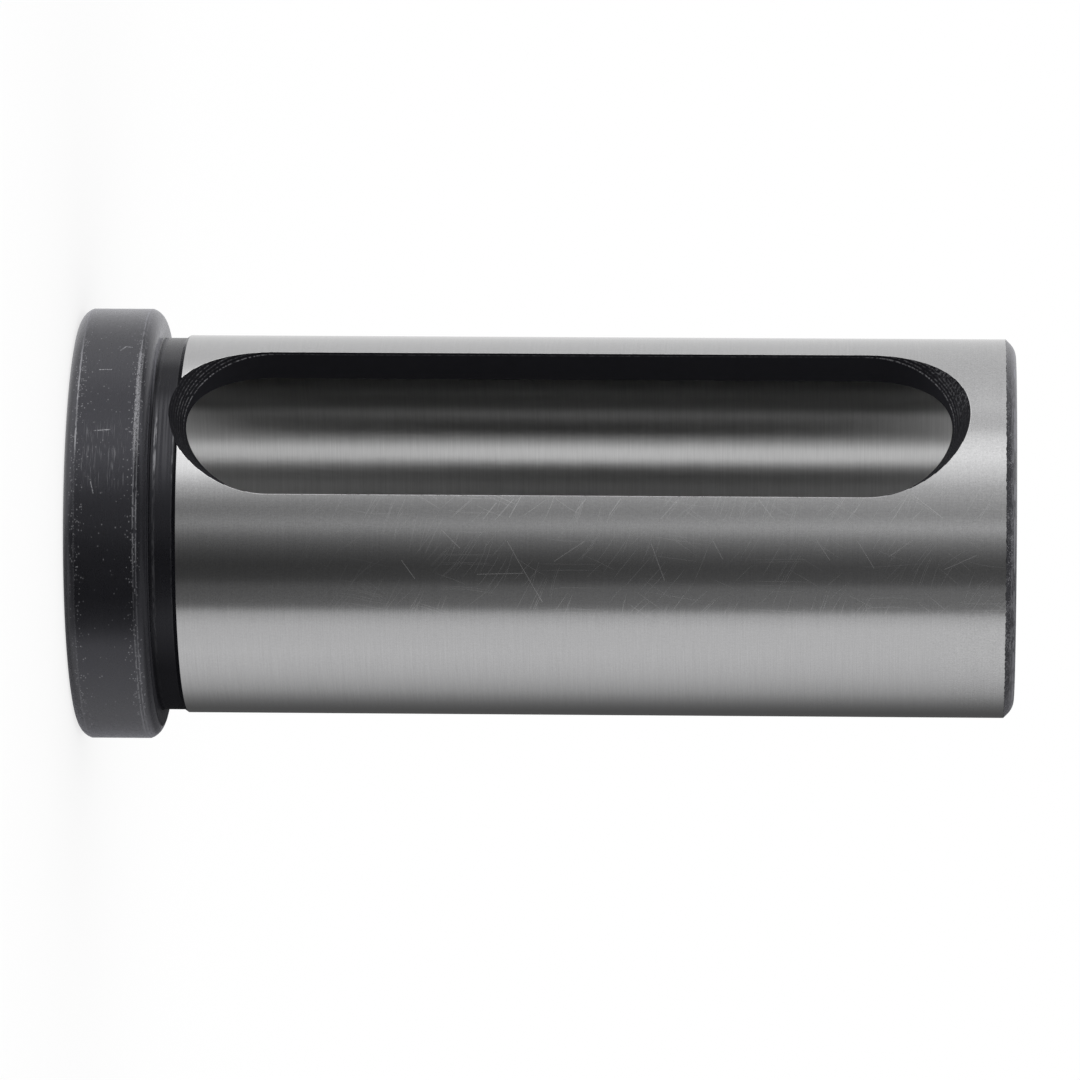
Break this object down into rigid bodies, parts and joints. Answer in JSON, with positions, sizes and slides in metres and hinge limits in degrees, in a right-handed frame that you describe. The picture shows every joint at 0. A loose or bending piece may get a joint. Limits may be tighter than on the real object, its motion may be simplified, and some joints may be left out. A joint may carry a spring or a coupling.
{
  "type": "tool holder bushing",
  "caption": "Flanged steel sleeve with a ground shank, a through bore for a round tool shank and a long side slot that lets clamp screws reach it.",
  "frame": {"origin": "centre of the head's end face, which the bushing stands on", "axes": "+Z along the bore from the head to the nose, -Y out through the middle of the slot"},
  "size_m": [0.0506, 0.0506, 0.1098],
  "materials": {
    "steel": "fine ground shank and bore, black oxide on the head, the relief, the slot walls and the nose edge"
  },
  "bodies": {
    "root": {"bushing": "steel"}
  },
  "joints": []
}
